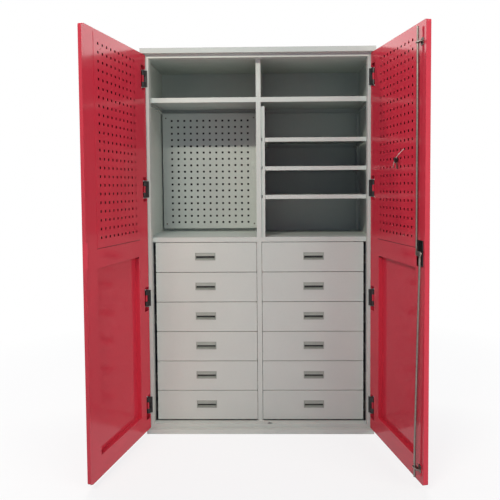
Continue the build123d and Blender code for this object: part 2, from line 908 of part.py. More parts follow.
# ---- output -------------------------------------------------------------------------
def make_pieces():
    side_panel = make_side_panel()
    pieces = {
        "roof": make_roof(),
        "base": make_base(),
        "side_panel_left": other_side(side_panel),
        "side_panel_right": side_panel,
        "back_panel": make_back_panel(),
        "front_frame": make_front_frame(),
        "divider_top": make_divider(top_shelf_top, carcass_top),
        "divider_middle": make_divider(middle_shelf_top, top_shelf_underside),
        "divider_lower": make_lower_divider(),
        "top_shelf": make_fixed_shelf(top_shelf_underside),
        "middle_shelf": make_fixed_shelf(middle_shelf_underside),
        "tool_panel": make_tool_panel(),
        "drawer_liners": make_drawer_liners(),
        "drawer_runners": make_drawer_runners(),
        "shelf_uprights": make_shelf_uprights(),
        "shelf_clips": make_shelf_clips(),
        "hinge_brackets": make_hinge_brackets(),
        "left_door_skin": hang_left(make_door_skin(False)),
        "left_door_frame": hang_left(make_door_frame(False)),
        "left_door_tool_panel": hang_left(make_door_tool_panel()),
        "left_door_knuckles": hang_left(make_door_knuckles()),
        "right_door_skin": hang_right(make_door_skin(True)),
        "right_door_frame": hang_right(make_door_frame(True)),
        "right_door_tool_panel": hang_right(make_door_tool_panel()),
        "right_door_knuckles": hang_right(make_door_knuckles()),
        "lock_housing": hang_right(make_lock_housing()),
        "lock_handle": hang_right(make_lock_handle()),
        "lock_cam": hang_right(make_lock_cam()),
        "upper_locking_rod": hang_right(make_upper_rod()),
        "lower_locking_rod": hang_right(make_lower_rod()),
        "rod_guides": hang_right(make_rod_guides()),
        "key_tie": hang_right(make_key_tie()),
        "keys": hang_right(make_keys()),
    }
    for number in range(adjustable_shelf_count):
        pieces[f"adjustable_shelf_{number + 1}"] = make_adjustable_shelf(number)
    for side in ("left", "right"):
        for row in range(drawer_rows):
            place = f"{side}_{drawer_rows - row}"
            pieces[f"drawer_{place}"] = make_drawer(side, row)
            pieces[f"pull_{place}"] = make_pull(side, row)
    return pieces


os.makedirs("parts", exist_ok=True)
for name, piece in make_pieces().items():
    export_step(piece, f"parts/{name}.step")
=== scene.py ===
import bpy
import bmesh
import json
import math
import numpy as np
from mathutils import Matrix


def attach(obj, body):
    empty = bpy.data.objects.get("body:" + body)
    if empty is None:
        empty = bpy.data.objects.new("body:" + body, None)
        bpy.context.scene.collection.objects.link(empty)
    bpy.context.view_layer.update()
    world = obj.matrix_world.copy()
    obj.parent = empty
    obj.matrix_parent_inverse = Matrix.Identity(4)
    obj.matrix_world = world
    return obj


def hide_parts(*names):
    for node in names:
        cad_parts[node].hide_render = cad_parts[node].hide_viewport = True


# Tool cabinet with two open doors, twelve drawers, shelves and perforated panels.
# Metres. X runs right, Y back, Z up, with the floor at Z = 0.
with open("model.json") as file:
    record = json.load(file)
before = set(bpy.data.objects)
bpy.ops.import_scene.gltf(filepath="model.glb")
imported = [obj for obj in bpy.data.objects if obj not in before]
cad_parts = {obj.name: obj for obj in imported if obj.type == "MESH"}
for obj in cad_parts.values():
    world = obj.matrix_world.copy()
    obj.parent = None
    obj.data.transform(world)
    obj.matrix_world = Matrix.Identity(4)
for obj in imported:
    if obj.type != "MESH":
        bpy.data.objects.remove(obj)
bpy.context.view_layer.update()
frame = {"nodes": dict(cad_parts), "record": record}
nodes = frame["nodes"]
print("frame loaded with", len(nodes), "nodes")

# directions along which places are measured
axes = {"x": (1.0, 0.0, 0.0), "y": (0.0, 1.0, 0.0), "z": (0.0, 0.0, 1.0)}
# the part of each noise's range over which its effect grows from none to full
noiseLimits = {
    "cloud": (0.35, 0.7), "grain": (0.45, 0.75), "dull": (0.4, 0.7), "dust": (0.3, 0.7),
    "gloss": (0.3, 0.7), "nib": (0.0, 0.12), "whole": (0.0, 1.0),
}


# small helpers for shader trees
def linearColour(red, green, blue):
    # 0-255 screen values to the linear values that a shader takes
    share = np.array([red, green, blue], float) / 255
    linear = np.where(share <= 0.04045, share / 12.92, ((share + 0.055) / 1.055) ** 2.4)
    return (*linear.tolist(), 1.0)


def addNode(tree, kind, inputs=None, **settings):
    # an input is another node's output to link, or a plain number, colour or vector
    node = tree.nodes.new("ShaderNode" + kind)
    for key, value in settings.items():
        setattr(node, key, value)
    for key, value in (inputs or {}).items():
        if isinstance(value, bpy.types.NodeSocket):
            tree.links.new(value, node.inputs[key])
        else:
            node.inputs[key].default_value = value
    return node


def maths(tree, operation, *inputs):
    return addNode(tree, "Math", dict(enumerate(inputs)), operation=operation).outputs[0]


def vectorValue(tree, operation, *inputs):
    node = addNode(tree, "VectorMath", dict(enumerate(inputs)), operation=operation)
    return node.outputs["Value"]


def newMaterial(name):
    material = bpy.data.materials.new(name)
    material.use_nodes = True
    tree = material.node_tree
    place = addNode(tree, "TexCoord").outputs["Object"]
    return material, tree, tree.nodes["Principled BSDF"], place


def noiseOn(tree, place, scale, detail, roughness=0.5):
    inputs = {"Vector": place, "Scale": scale, "Detail": detail, "Roughness": roughness}
    return addNode(tree, "TexNoise", inputs).outputs["Fac"]


def spread(tree, value, source, target=(0.0, 1.0)):
    # carry a value from one range to another, held at both ends
    inputs = {"Value": value, "From Min": source[0], "From Max": source[1]}
    inputs.update({"To Min": target[0], "To Max": target[1]})
    return addNode(tree, "MapRange", inputs).outputs["Result"]


def blendColours(tree, share, first, second):
    inputs = {0: share, 6: first, 7: second}
    return addNode(tree, "Mix", inputs, data_type="RGBA", clamp_factor=True).outputs[2]


def tinted(tree, colour, other, value, limits, depth):
    # lay the other colour over the first, as deep as the value goes between its limits
    return blendColours(tree, spread(tree, value, limits, (0.0, depth)), colour, other)


def edgeMask(tree, radius, samples=4, cosines=(0.98, 0.75)):
    # how far the rounded normal leaves the flat one: 1 on folded edges, 0 on flats
    rounded = addNode(tree, "Bevel", {"Radius": radius}, samples=samples).outputs["Normal"]
    flat = addNode(tree, "NewGeometry").outputs["Normal"]
    return spread(tree, vectorValue(tree, "DOT_PRODUCT", rounded, flat), cosines), rounded


def insideSlabs(tree, place, slabs, soft=0.0003):
    # 1 where the distance along every direction lies between its two ends
    share = 1.0
    for direction, low, high in slabs:
        far = vectorValue(tree, "DOT_PRODUCT", place, direction)
        above = spread(tree, far, (low - soft, low))
        below = spread(tree, far, (high, high + soft), (1.0, 0.0))
        share = maths(tree, "MULTIPLY", maths(tree, "MULTIPLY", share, above), below)
    return share


def zoned(tree, place, colour, zones):
    # each zone's colour inside its slabs: painted shade
    for zoneColour, slabs in zones:
        inside = insideSlabs(tree, place, slabs)
        colour = blendColours(tree, inside, colour, linearColour(*zoneColour))
    return colour


def weldMarks(tree, place, marks):
    # 1 inside small round marks, one above another at equal steps, on both sides of the middle
    parts = addNode(tree, "SeparateXYZ", {"Vector": place}).outputs
    sideways = maths(tree, "ABSOLUTE", parts[marks["axis"]])
    across = maths(tree, "SUBTRACT", sideways, marks["at"])
    up = maths(tree, "WRAP", parts["Z"], marks["step"] / 2, -marks["step"] / 2)
    both = addNode(tree, "CombineXYZ", {"X": across, "Y": up}).outputs[0]
    limits = (marks["radius"] * marks["flatShare"], marks["radius"])
    return spread(tree, vectorValue(tree, "LENGTH", both), limits, (1.0, 0.0))


def paintSurface(tree, shader, colour, gloss, roughness):
    # the colour, and a roughness that follows a noise
    tree.links.new(colour, shader.inputs["Base Color"])
    rough = spread(tree, gloss, noiseLimits["gloss"], roughness)
    tree.links.new(rough, shader.inputs["Roughness"])


def addRelief(tree, rounded, height, strength, depth, socket):
    # bump on top of the rounded edges
    inputs = {"Height": height, "Strength": strength, "Distance": depth, "Normal": rounded}
    tree.links.new(addNode(tree, "Bump", inputs).outputs["Normal"], socket)


def threeTones(look):
    return [linearColour(*look[key]) for key in ("colour", "shade", "edgeWearAndHighlight")]


def paintedSteel(name, paint, zones=(), welds=None, dust=None):
    # sprayed and baked paint: broad unevenness, orange peel, dust nibs, edges lighter from wear
    # and painted highlight, and zones of painted shade
    material, tree, shader, place = newMaterial(name)
    edges, rounded = edgeMask(tree, paint["edgeRadius"])
    broad = noiseOn(tree, place, paint["cloudScale"], 3.0)
    fine = noiseOn(tree, place, paint["grainScale"], 4.0, 0.6)
    base, shade, light = threeTones(paint)
    colour = tinted(tree, base, shade, broad, noiseLimits["cloud"], paint["cloudDepth"])
    colour = tinted(tree, colour, shade, fine, noiseLimits["grain"], paint["grainDepth"])
    colour = tinted(tree, colour, light, edges, noiseLimits["whole"], paint["edgeDepth"])
    if dust:
        patches = noiseOn(tree, place, dust["scale"], 5.0, 0.65)
        cover = spread(tree, patches, noiseLimits["dust"], dust["cover"])
        level = insideSlabs(tree, place, [(axes["z"], *dust["up"])])
        share = maths(tree, "MULTIPLY", cover, level)
        colour = blendColours(tree, share, colour, linearColour(*dust["colour"]))
    colour = zoned(tree, place, colour, zones)
    paintSurface(tree, shader, colour, fine, paint["roughness"])
    peel = noiseOn(tree, place, paint["peelScale"], 2.0, 0.4)
    nibs = addNode(tree, "TexVoronoi", {"Vector": place, "Scale": paint["nibScale"]})
    specks = spread(tree, nibs.outputs["Distance"], noiseLimits["nib"], (1.0, 0.0))
    relief = maths(tree, "MULTIPLY_ADD", specks, paint["nibDepth"], peel)
    if welds:
        marks = weldMarks(tree, place, welds)
        relief = maths(tree, "MULTIPLY_ADD", marks, -welds["depth"], relief)
    strength, depth = paint["peelStrength"], paint["peelDepth"]
    addRelief(tree, rounded, relief, strength, depth, shader.inputs["Normal"])
    shader.inputs["Coat Weight"].default_value = paint["coat"]
    shader.inputs["Coat Roughness"].default_value = paint["coatRoughness"]
    shader.inputs["Specular IOR Level"].default_value = paint["specular"]
    if paint["coat"]:
        strength = paint["coatStrength"]
        addRelief(tree, rounded, peel, strength, depth, shader.inputs["Coat Normal"])
    return material


def bareMetal(name, metal):
    # plated or drawn metal: crystal patches, lines along the drawing, dull handling marks, and
    # edges lighter from wear and painted highlight
    material, tree, shader, place = newMaterial(name)
    edges, rounded = edgeMask(tree, metal["edgeRadius"])
    patches = addNode(tree, "TexVoronoi", {"Vector": place, "Scale": metal["patchScale"]})
    patch = addNode(tree, "SeparateColor", {"Color": patches.outputs["Color"]}).outputs[0]
    drawn = addNode(tree, "Mapping", {"Vector": place, "Scale": metal["lineStretch"]})
    lines = noiseOn(tree, drawn.outputs["Vector"], metal["lineScale"], 3.0, 0.6)
    dull = noiseOn(tree, place, metal["dullScale"], 4.0, 0.6)
    base, shade, light = threeTones(metal)
    colour = tinted(tree, base, shade, patch, noiseLimits["whole"], metal["patchDepth"])
    colour = tinted(tree, colour, shade, dull, noiseLimits["dull"], metal["dullDepth"])
    colour = tinted(tree, colour, light, edges, noiseLimits["whole"], metal["edgeDepth"])
    paintSurface(tree, shader, colour, lines, metal["roughness"])
    strength, depth = metal["lineStrength"], metal["lineDepth"]
    addRelief(tree, rounded, lines, strength, depth, shader.inputs["Normal"])
    shader.inputs["Metallic"].default_value = metal["metallic"]
    return material


def mouldedPlastic(name, plastic, zones=()):
    # moulded part with a spark-eroded grain, corners lighter from wear and painted highlight, and
    # zones of painted shade
    material, tree, shader, place = newMaterial(name)
    edges, rounded = edgeMask(tree, plastic["edgeRadius"])
    grain = noiseOn(tree, place, plastic["grainScale"], 3.0, 0.6)
    cloud = noiseOn(tree, place, plastic["cloudScale"], 3.0)
    base, shade, light = threeTones(plastic)
    colour = tinted(tree, base, shade, cloud, noiseLimits["cloud"], plastic["cloudDepth"])
    colour = tinted(tree, colour, light, edges, noiseLimits["whole"], plastic["edgeDepth"])
    colour = zoned(tree, place, colour, zones)
    paintSurface(tree, shader, colour, grain, plastic["roughness"])
    strength, depth = plastic["grainStrength"], plastic["grainDepth"]
    addRelief(tree, rounded, grain, strength, depth, shader.inputs["Normal"])
    return material


greyPaint = {
    "colour": (196, 204, 198), "shade": (186, 194, 188), "edgeWearAndHighlight": (210, 217, 211),
    "roughness": (0.36, 0.5), "specular": 0.45, "coat": 0.0, "coatRoughness": 0.1,
    "coatStrength": 0.1, "cloudScale": 2.2, "cloudDepth": 0.5, "grainScale": 90.0,
    "grainDepth": 0.25, "edgeRadius": 0.0012, "edgeDepth": 0.35, "peelScale": 520.0,
    "peelStrength": 0.25, "peelDepth": 0.0003, "nibScale": 900.0, "nibDepth": 0.4,
}
redPaint = {
    "colour": (206, 55, 73), "shade": (190, 44, 60), "edgeWearAndHighlight": (226, 84, 98),
    "roughness": (0.4, 0.55), "specular": 0.0, "coat": 0.6, "coatRoughness": 0.13,
    "coatStrength": 0.12, "cloudScale": 2.0, "cloudDepth": 0.45, "grainScale": 80.0,
    "grainDepth": 0.2, "edgeRadius": 0.0014, "edgeDepth": 0.5, "peelScale": 420.0,
    "peelStrength": 0.2, "peelDepth": 0.0003, "nibScale": 800.0, "nibDepth": 0.3,
}
blackPaint = {
    "colour": (30, 31, 33), "shade": (22, 22, 24), "edgeWearAndHighlight": (62, 64, 66),
    "roughness": (0.3, 0.5), "specular": 0.5, "coat": 0.0, "coatRoughness": 0.1,
    "coatStrength": 0.1, "cloudScale": 12.0, "cloudDepth": 0.6, "grainScale": 240.0,
    "grainDepth": 0.4, "edgeRadius": 0.0008, "edgeDepth": 0.5, "peelScale": 1400.0,
    "peelStrength": 0.4, "peelDepth": 0.0003, "nibScale": 1600.0, "nibDepth": 0.3,
}
zincPlate = {
    "colour": (140, 136, 130), "shade": (104, 100, 95), "edgeWearAndHighlight": (176, 173, 167),
    "roughness": (0.3, 0.5), "metallic": 1.0, "edgeRadius": 0.0006, "edgeDepth": 0.5,
    "patchScale": 120.0, "patchDepth": 0.5, "dullScale": 14.0, "dullDepth": 0.5,
    "lineStretch": (1.0, 1.0, 0.03), "lineScale": 900.0, "lineStrength": 0.2,
    "lineDepth": 0.0002,
}
pullPlastic = {
    "colour": (148, 156, 148), "shade": (134, 141, 134), "edgeWearAndHighlight": (178, 184, 177),
    "roughness": (0.4, 0.55), "edgeRadius": 0.0008, "edgeDepth": 0.6, "cloudScale": 20.0,
    "cloudDepth": 0.6, "grainScale": 700.0, "grainStrength": 0.3, "grainDepth": 0.0002,
}
keyPlastic = {
    "colour": (20, 20, 22), "shade": (13, 13, 14), "edgeWearAndHighlight": (48, 48, 50),
    "roughness": (0.3, 0.5), "edgeRadius": 0.0006, "edgeDepth": 0.6, "cloudScale": 60.0,
    "cloudDepth": 0.6, "grainScale": 900.0, "grainStrength": 0.3, "grainDepth": 0.0002,
}
tiePlastic = {
    "colour": (226, 214, 206), "shade": (206, 192, 184), "edgeWearAndHighlight": (240, 232, 226),
    "roughness": (0.35, 0.5), "edgeRadius": 0.0004, "edgeDepth": 0.6, "cloudScale": 60.0,
    "cloudDepth": 0.6, "grainScale": 900.0, "grainStrength": 0.2, "grainDepth": 0.0002,
}
punched = {"edgeRadius": 0.0003, "edgeDepth": 0.2}  # small edges of the perforated sheets
dulled = {"roughness": (0.7, 0.85), "specular": 0.2}  # the roof under its dust
# liners in a darker grey: painted shade for the gap beside the drawers
linerPaintedShade = {"colour": (96, 100, 108), "shade": (86, 90, 98), "edgeWearAndHighlight": (110, 114, 122)}

# a door's own directions: along from its pin, out of its inner face, and height
hang = {"pinX": 0.5895, "pinY": -0.2615, "open": math.radians(102.0), "innerFace": 0.0115}


def onDoor(side, along, out, height):
    # turn (along, out) about the pin by the open angle, mirrored for the right door
    along, out, height = np.broadcast_arrays(along, out, height)
    cosine, sine = math.cos(hang["open"]), math.sin(hang["open"])
    x = -hang["pinX"] + along * cosine + out * sine
    y = hang["pinY"] - along * sine + out * cosine
    return np.stack([x if side == "left" else -x, y, height], -1)


def doorSlabs(side, along, out, height):
    # the door's own ranges as distances along directions of the closed drawing
    pin = onDoor(side, 0.0, 0.0, 0.0)
    slabs = [(axes["z"], *height)]
    for local, (low, high) in (((1.0, 0.0), along), ((0.0, 1.0), out)):
        direction = onDoor(side, *local, 0.0) - pin
        start = float(direction @ pin)
        slabs.append((tuple(direction.tolist()), start + low, start + high))
    return slabs


# painted shade, darker red: behind a door's perforated panel, under the panel's lower edge and
# under the recess's top fold, where shade falls; colour, then along, out and height
doorPaintedShades = {
    "behindPanel": ((58, 14, 22), (0.087, 0.505), (-0.0100, 0.0112), (1.032, 1.956)),
    "underPanel": ((110, 22, 34), (0.086, 0.506), (0.0110, 0.0120), (1.0276, 1.0312)),
    "underFold": ((120, 26, 38), (0.100, 0.506), (-0.0100, 0.0112), (0.9365, 0.9452)),
}


def doorZones(side, *places):
    shades = [doorPaintedShades[place] for place in places]
    return [(colour, doorSlabs(side, *ranges)) for colour, *ranges in shades]


def straightZone(colour, **ranges):
    # a zone between ranges of the plain coordinates
    return colour, [(axes[axis], *ends) for axis, ends in ranges.items()]


# painted shade on the rear sheet behind its panel, on the runner sides of the drawers and in the
# pulls' pockets
backShade = {"colour": (52, 54, 58), "x": (-0.587, -0.021), "y": (0.2725, 0.2743)}
backZones = [straightZone(**backShade, z=(1.045, 1.733))]
# painted shade: the runner sides of the drawers darker, for the dark gap beside them
drawerSideShade = {"colour": (104, 108, 116), "inner": 0.54915, "outer": 0.5610}
drawerZones = [
    straightZone(drawerSideShade["colour"], x=(drawerSideShade["inner"], drawerSideShade["outer"])),
    straightZone(drawerSideShade["colour"], x=(-drawerSideShade["outer"], -drawerSideShade["inner"])),
]
# painted shade: the deep part of each pull's pocket dark
pullPocketShade = [straightZone((34, 36, 38), y=(-0.1893, -0.1840))]

# marks of the spot welds on the rear and side sheets, and dust that settled on the roof
spotWelds = {"step": 0.095, "radius": 0.0035, "flatShare": 0.6, "depth": 2.5}
backWelds = {"axis": "X", "at": 0.5780, **spotWelds}
sideWelds = {"axis": "Y", "at": 0.2610, **spotWelds}
roofDust = {"colour": (150, 150, 146), "scale": 5.0, "cover": (0.62, 0.82), "up": (1.9992, 2.01)}

# one finish for each slot of the record, and finishes of single sheets
finishes = {
    "grey_paint": paintedSteel("greyPaintedSteel", greyPaint),
    "red_paint": paintedSteel("redPaintedSteel", redPaint),
    "black_steel": paintedSteel("blackPaintedSteel", blackPaint),
    "zinc_steel": bareMetal("zincPlatedSteel", zincPlate),
    "pull_grey": mouldedPlastic("greyPullPlastic", pullPlastic, pullPocketShade),
    "key_black": mouldedPlastic("blackKeyPlastic", keyPlastic),
    "tie_white": mouldedPlastic("whiteTiePlastic", tiePlastic),
    "backSheet": paintedSteel("greyBackSheet", greyPaint, backZones, backWelds),
    "sideSheet": paintedSteel("greySideSheet", greyPaint, welds=sideWelds),
    "dustyRoof": paintedSteel("greyRoofSheet", {**greyPaint, **dulled}, dust=roofDust),
    "drawerSteel": paintedSteel("greyDrawerSteel", greyPaint, drawerZones),
    "linerSteel": paintedSteel("greyLinerSteel", {**greyPaint, **linerPaintedShade}),
    "punchedGrey": paintedSteel("greyPunchedSteel", {**greyPaint, **punched}),
    "punchedRed": paintedSteel("redPunchedSteel", {**redPaint, **punched}),
}
# door sheets with painted shade behind the perforated panel, inner frames with painted shade under
# the panel and the fold
for side in ("left", "right"):
    sheet, inner = doorZones(side, "behindPanel"), doorZones(side, "underPanel", "underFold")
    title = side.capitalize()
    finishes[side + "DoorSheet"] = paintedSteel(f"red{title}DoorSheet", redPaint, sheet)
    finishes[side + "DoorInner"] = paintedSteel(f"red{title}DoorFrame", redPaint, inner)
print("materials made:", len(finishes))

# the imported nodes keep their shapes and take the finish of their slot, or one of their own
slotOf = {part["node"]: part["material_slot"] for part in frame["record"]["subparts"]}
ownFinish = {
    "back_panel": "backSheet", "side_panel_left": "sideSheet", "side_panel_right": "sideSheet",
    "roof": "dustyRoof", "drawer_liners": "linerSteel",
    "left_door_skin": "leftDoorSheet", "right_door_skin": "rightDoorSheet",
    "left_door_frame": "leftDoorInner", "right_door_frame": "rightDoorInner",
}
for name, node in nodes.items():
    node.data.materials.clear()
    node.data.materials.append(finishes[ownFinish.get(name, slotOf[name])])


# helpers for surfaces worked out with numpy
def gridQuads(rows, columns, ringRows=False, ringColumns=False):
    # each cell of a net of points as the numbers of its four corners
    row = np.arange(rows if ringRows else rows - 1)[:, None]
    column = np.arange(columns if ringColumns else columns - 1)[None, :]
    nextRow, nextColumn = (row + 1) % rows, (column + 1) % columns
    corners = [
        row * columns + column, row * columns + nextColumn,
        nextRow * columns + nextColumn, nextRow * columns + column,
    ]
    return np.stack(corners, -1).reshape(-1, 4)


def extruded(outline, low, high):
    # a closed outline carried straight from one level to the other, with both ends closed
    count = len(outline)
    points = np.concatenate([np.insert(outline, 2, level, axis=1) for level in (low, high)])
    sides = gridQuads(2, count, ringColumns=True)
    ends = np.stack([np.arange(count)[::-1], np.arange(count) + count])
    return points, sides, ends


def outward(points, groups):
    # signed volume of a closed shell: corner triple products summed over a fan of each face
    centred = points - points.mean(0)
    total = 0.0
    for faces in groups:
        first = centred[faces[:, 0]]
        for step in range(1, faces.shape[1] - 1):
            second, third = centred[faces[:, step]], centred[faces[:, step + 1]]
            total += np.einsum("ij,ij->i", first, np.cross(second, third)).sum()
    return [faces if total > 0 else faces[:, ::-1] for faces in groups]


def sharedCorners(quads):
    # corner places of loose quads to shared points and their numbers
    flat = np.round(quads.reshape(-1, 3), 7)
    points, numbers = np.unique(flat, axis=0, return_inverse=True)
    return points, numbers.reshape(-1, 4)


def joinParts(parts):
    # the parts' points in one list, with the numbers in their faces moved on
    starts = np.cumsum([0] + [len(part[0]) for part in parts[:-1]])
    groups = [group + start for part, start in zip(parts, starts) for group in part[1:]]
    return np.concatenate([part[0] for part in parts]), groups


def repeatShape(points, groups, centres):
    # the same shape at every centre, with the numbers of its points moved on
    count = len(points)
    moved = (np.asarray(centres)[:, None, :] + points[None]).reshape(-1, 3)
    step = np.arange(len(centres))[:, None, None] * count
    return moved, [(group[None] + step).reshape(-1, group.shape[1]) for group in groups]


def placePiece(name, mesh, slot, body, finish=None):
    piece = bpy.data.objects.new(name, mesh)
    bpy.context.scene.collection.objects.link(piece)
    mesh.materials.append(finishes[finish or slot])
    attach(piece, body)
    return piece


def makePiece(name, points, faces, slot, body, smooth=False, finish=None):
    # faces is a list of arrays, one for each number of corners
    points = np.asarray(points, float).reshape(-1, 3)
    corners = [face for group in outward(points, faces) for face in group.tolist()]
    mesh = bpy.data.meshes.new(name)
    mesh.from_pydata(points.tolist(), [], corners)
    mesh.validate()
    mesh.update()
    if smooth:
        mesh.polygons.foreach_set("use_smooth", [True] * len(mesh.polygons))
    return placePiece(name, mesh, slot, body, finish)


# drawers whose fronts stop short of the stiles, so that a dark gap shows beside them;
# the bands hold the front's outer fold and the lip behind it
drawerFit = {
    "rows": 6, "merge": 1e-6, "narrower": 0.0095, "frontTo": -0.1805,
    "bands": ((0.5555, 0.5590), (0.5465, 0.5478)),
}


def solidGroups(shape):
    # the faces of each solid, walked over edges that exactly two faces share
    waiting, groups = dict.fromkeys(shape.faces), []
    while waiting:
        group = [waiting.popitem()[0]]
        for face in group:  # grows while it is walked
            for edge in face.edges:
                for other in edge.link_faces:
                    if len(edge.link_faces) == 2 and other in waiting:
                        del waiting[other]
                        group.append(other)
        groups.append(group)
    return groups


def fitDrawer(side, row):
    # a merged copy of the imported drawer: points of the bands move sideways to the middle
    node = f"drawer_{side}_{row}"
    shape = bmesh.new()
    shape.from_mesh(nodes[node].data)
    bmesh.ops.remove_doubles(shape, verts=shape.verts, dist=drawerFit["merge"])
    for group in solidGroups(shape)[1:]:
        bmesh.ops.split(shape, geom=group)
    mesh = bpy.data.meshes.new(node)
    shape.to_mesh(mesh)
    shape.free()
    points = np.empty(len(mesh.vertices) * 3)
    mesh.vertices.foreach_get("co", points)
    points = points.reshape(-1, 3)
    across, atFront = np.abs(points[:, 0]), points[:, 1] < drawerFit["frontTo"]
    outer = sum((across > low) & (across < high) for low, high in drawerFit["bands"]) > 0
    points[:, 0] -= np.sign(points[:, 0]) * drawerFit["narrower"] * (outer & atFront)
    mesh.vertices.foreach_set("co", points.ravel())
    mesh.update()
    piece = placePiece(
        f"{side}Drawer{row}", mesh, "grey_paint", node + "_body", finish="drawerSteel")
    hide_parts(node)


for side in ("left", "right"):
    for row in range(1, drawerFit["rows"] + 1):
        fitDrawer(side, row)
print("drawers fitted")

# perforated panels on the inner faces of the doors and at the rear of the left bay
doorPanel = {
    "along": (0.086, 0.506), "height": (1.031, 1.957), "columns": 10, "rows": 23,
    "pitch": (0.0381, 0.0381), "hole": (0.0118, 0.0118), "corner": 0.0022, "sheet": 0.0012,
}
toolPanel = {
    "along": (-0.588, -0.020), "height": (1.044, 1.734), "columns": 13, "rows": 17,
    "pitch": (0.0381, 0.0381), "hole": (0.0118, 0.0118), "corner": 0.0022, "sheet": 0.0012,
    "centre": (-0.304, 1.386), "face": 0.2363, "depth": 0.036,
}


def quadrants(quarter):
    # a quarter of an outline mirrored into the other three, in one running order
    flips = ((1, 1), (-1, 1), (-1, -1), (1, -1))
    return np.concatenate([(quarter * flip)[:: flip[0] * flip[1]] for flip in flips])


def lifted(flat, out):
    # points of the flat drawing, set out from the sheet's rear face
    return np.insert(flat, 1, out, axis=-1)


def punchedCell(near, middle, corner, sheet):
    # a ring of quads from a hole with round corners to its square cell, on both faces, and
    # the hole's wall: the corner is an arc about the point near, the cell ends at middle
    turn = np.array([0.0, 0.25, 0.5]) * math.pi
    hole = quadrants(near + corner * np.stack([np.cos(turn), np.sin(turn)], -1))
    cell = quadrants(np.array([[middle[0], near[1]], middle, [near[0], middle[1]]]))
    nextHole, nextCell = np.roll(hole, -1, 0), np.roll(cell, -1, 0)
    face = np.stack([cell, nextCell, nextHole, hole], 1)
    wall = [lifted(hole, sheet), lifted(nextHole, sheet), lifted(nextHole, 0), lifted(hole, 0)]
    return np.concatenate([lifted(face, sheet), np.stack(wall, 1), lifted(face[:, ::-1], 0)])


def plainMargin(cuts, sheet):
    # both faces of the outermost strips of the net that the two lists of cuts draw
    a, b = np.meshgrid(np.arange(len(cuts[0]) - 1), np.arange(len(cuts[1]) - 1), indexing="ij")
    border = (a == 0) | (a == len(cuts[0]) - 2) | (b == 0) | (b == len(cuts[1]) - 2)
    a, b = a[border], b[border]
    corners = [(cuts[0][a + i], cuts[1][b + j]) for i, j in ((0, 0), (1, 0), (1, 1), (0, 1))]
    flat = np.stack([np.stack(corner, -1) for corner in corners], 1)
    return [lifted(flat, sheet), lifted(flat[:, ::-1], 0)]


def sheetRim(cuts, sheet):
    # the sheet's thickness along its four edges, cut where the margin is cut
    strips = []
    for axis in (0, 1):
        first, second = cuts[1 - axis][:-1], cuts[1 - axis][1:]
        for end in (0, -1):
            fixed = np.full_like(first, cuts[axis][end])
            corners = []
            for run, out in ((first, 0), (second, 0), (second, sheet), (first, sheet)):
                ends = (fixed, run) if axis == 0 else (run, fixed)
                corners.append(np.stack([ends[0], np.full_like(run, out), ends[1]], -1))
            strip = np.stack(corners, 1)
            strips.append(strip if (end == 0) != (axis == 0) else strip[:, ::-1])
    return strips


def perforatedSheet(panel):
    # one punched cell repeated at the pitch, with a plain margin and a rim round them
    middle = np.array(panel["pitch"]) / 2
    near = np.array(panel["hole"]) / 2 - panel["corner"]
    ends = (panel["along"], panel["height"])
    centre = panel.get("centre", [sum(pair) / 2 for pair in ends])
    counts = (panel["columns"], panel["rows"])
    runs = [
        (np.arange(count) - (count - 1) / 2) * step + start
        for count, step, start in zip(counts, panel["pitch"], centre)
    ]
    centres = np.stack(np.meshgrid(runs[0], [0.0], runs[1], indexing="ij"), -1)
    cell = punchedCell(near, middle, panel["corner"], panel["sheet"])
    quads = [(cell[None] + centres.reshape(-1, 1, 1, 3)).reshape(-1, 4, 3)]
    cuts = []
    for (low, high), places, far, close in zip(ends, runs, middle, near):
        inner = (places[:, None] + np.array([-far, -close, close])).ravel()
        cuts.append(np.concatenate([[low], inner, [places[-1] + far, high]]))
    quads += plainMargin(cuts, panel["sheet"]) + sheetRim(cuts, panel["sheet"])
    return sharedCorners(np.concatenate(quads))


points, quads = perforatedSheet(doorPanel)
for side in ("left", "right"):
    placed = onDoor(side, points[:, 0], points[:, 1] + hang["innerFace"], points[:, 2])
    piece = makePiece(
        side + "DoorPerforatedPanel", placed, [quads], "red_paint", side + "_door",
        finish="punchedRed")
    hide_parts(side + "_door_tool_panel")
print("door panels made:", len(quads), "faces each")

points, quads = perforatedSheet(toolPanel)
placed = points * (1, -1, 1) + (0, toolPanel["face"] + toolPanel["sheet"], 0)
piece = makePiece(
    "rearPerforatedPanel", placed, [quads], "grey_paint", "cabinet", finish="punchedGrey")
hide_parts("tool_panel")


def foldedEdges(panel):
    # the four edges of the rear panel folded back, as one ring that runs from front to rear
    corners = []
    for inset in (0.0, panel["sheet"]):
        left, right = np.array(panel["along"]) + (inset, -inset)
        low, high = np.array(panel["height"]) + (inset, -inset)
        corners.append(np.array([[left, low], [right, low], [right, high], [left, high]]))
    front, rear = panel["face"] + panel["sheet"], panel["face"] + panel["depth"]
    outer, inner = corners
    profile = ((outer, front), (outer, rear), (inner, rear), (inner, front))
    rings = [np.insert(ring, 1, y, axis=1) for ring, y in profile]
    return np.concatenate(rings), gridQuads(4, 4, ringRows=True, ringColumns=True)


points, quads = foldedEdges(toolPanel)
makePiece("rearPanelReturns", points, [quads], "grey_paint", "cabinet")
print("rear panel made")

# slotted uprights that carry the adjustable shelves, open towards the bay walls
upright = {
    "inner": 0.0125, "width": 0.020, "front": -0.197, "depth": 0.020, "spacing": 0.430,
    "height": (1.027, 1.713), "sheet": 0.0015, "step": 0.0095, "setBack": 0.006,
    "slot": (0.0045, 0.0130), "slotPitch": (0.012, 0.025), "slotRows": 26,
    "window": (0.0060, 0.0170), "windowPitch": (0.0085, 0.150), "windowRows": 3,
    "windowMiddle": 1.3905, "corner": 0.001, "bayMiddle": 0.304,
}


